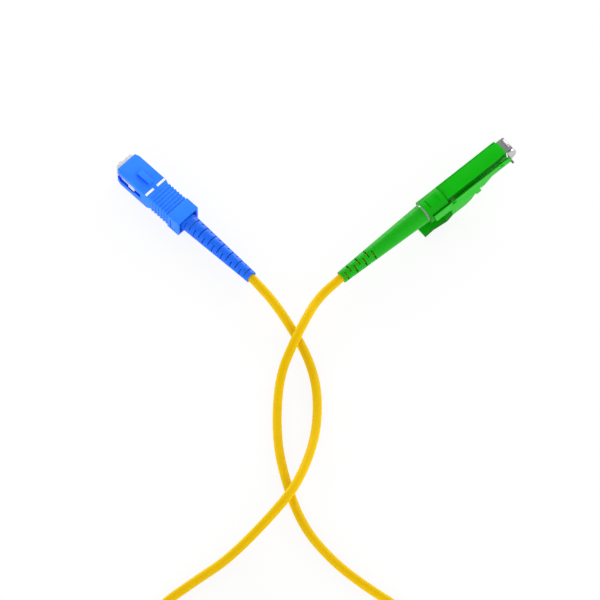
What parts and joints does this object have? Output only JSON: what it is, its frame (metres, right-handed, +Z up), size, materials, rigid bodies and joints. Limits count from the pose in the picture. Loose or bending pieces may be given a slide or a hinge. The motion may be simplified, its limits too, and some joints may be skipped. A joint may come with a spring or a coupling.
{
  "type": "fibre optic patch cable",
  "caption": "Simplex optical patch cable with a yellow jacket, a blue square push-pull plug at one end and a green shuttered plug with a thumb lever at the other.",
  "frame": {"origin": "on the floor under the middle of the two plugs' common box", "axes": "+X from the square plug towards the shuttered plug, +Y away from the cable, +Z up"},
  "size_m": [0.1296, 0.2146, 0.0153],
  "materials": {
    "blue_housing": "glossy moulded plastic, blue",
    "blue_boot": "satin elastomer, blue",
    "green_housing": "glossy moulded plastic, green",
    "green_boot": "satin elastomer, green",
    "white_frame": "glossy moulded plastic, white",
    "white_mark": "flat white inlay",
    "ceramic": "polished white ceramic",
    "steel": "bright steel",
    "jacket": "satin extruded jacket, yellow",
    "buffer": "white buffer",
    "tie": "black woven tie"
  },
  "bodies": {
    "cable_and_plugs": {"sc_plug_frame": "white_frame", "sc_ferrule_spring": "steel", "sc_back_body": "steel", "sc_crimp_ring": "steel", "sc_boot": "blue_boot", "lsh_housing": "green_housing", "lsh_shutter_bracket": "steel", "lsh_shutter_pin": "steel", "lsh_shutter_spring": "steel", "lsh_ferrule_spring": "steel", "lsh_back_body": "steel", "lsh_crimp_ring": "steel", "lsh_boot": "green_boot", "cable_strand_sc": "jacket", "cable_strand_lsh": "jacket", "cable_coil": "jacket", "coil_tie": "tie"},
    "sc_coupling_sleeve": {"sc_sleeve": "blue_housing", "sc_depth_marks": "white_mark"},
    "sc_ferrule_unit": {"sc_ferrule": "ceramic", "sc_ferrule_flange": "steel", "sc_fibre": "buffer"},
    "lsh_ferrule_unit": {"lsh_ferrule": "ceramic", "lsh_ferrule_flange": "steel", "lsh_fibre": "buffer"},
    "lsh_latch_lever": {"lsh_lever": "green_housing"},
    "lsh_shutter_flap": {"lsh_shutter": "steel", "lsh_cam_pins": "steel"}
  },
  "joints": [
    {"name": "sc_sleeve_slide", "type": "slide", "parent": "cable_and_plugs", "child": "sc_coupling_sleeve", "axis": [0.7075, -0.7067, 0], "range_m": [0, 0.0014]},
    {"name": "sc_ferrule_slide", "type": "slide", "parent": "cable_and_plugs", "child": "sc_ferrule_unit", "axis": [0.7075, -0.7067, 0], "range_m": [0, 0.0015], "stiffness_N_per_m": 300, "deforming": ["sc_ferrule_spring"]},
    {"name": "lsh_ferrule_slide", "type": "slide", "parent": "cable_and_plugs", "child": "lsh_ferrule_unit", "axis": [-0.7696, -0.6299, -0.1045], "range_m": [0, 0.0015], "stiffness_N_per_m": 300, "deforming": ["lsh_ferrule_spring"]},
    {"name": "lsh_lever_hinge", "type": "hinge", "parent": "cable_and_plugs", "child": "lsh_latch_lever", "pos_m": [0.05775, 0.01785, 0.01152], "axis": [-0.6334, 0.7738, 0], "range_deg": [0, 1.8], "stiffness_Nm_per_rad": 1, "springref_deg": -0.57},
    {"name": "lsh_shutter_hinge", "type": "hinge", "parent": "cable_and_plugs", "child": "lsh_shutter_flap", "pos_m": [0.06158, 0.02099, 0.01466], "axis": [0.6334, -0.7738, 0], "range_deg": [0, 95], "stiffness_Nm_per_rad": 0.0005, "springref_deg": -11.46, "deforming": ["lsh_shutter_spring"]}
  ]
}
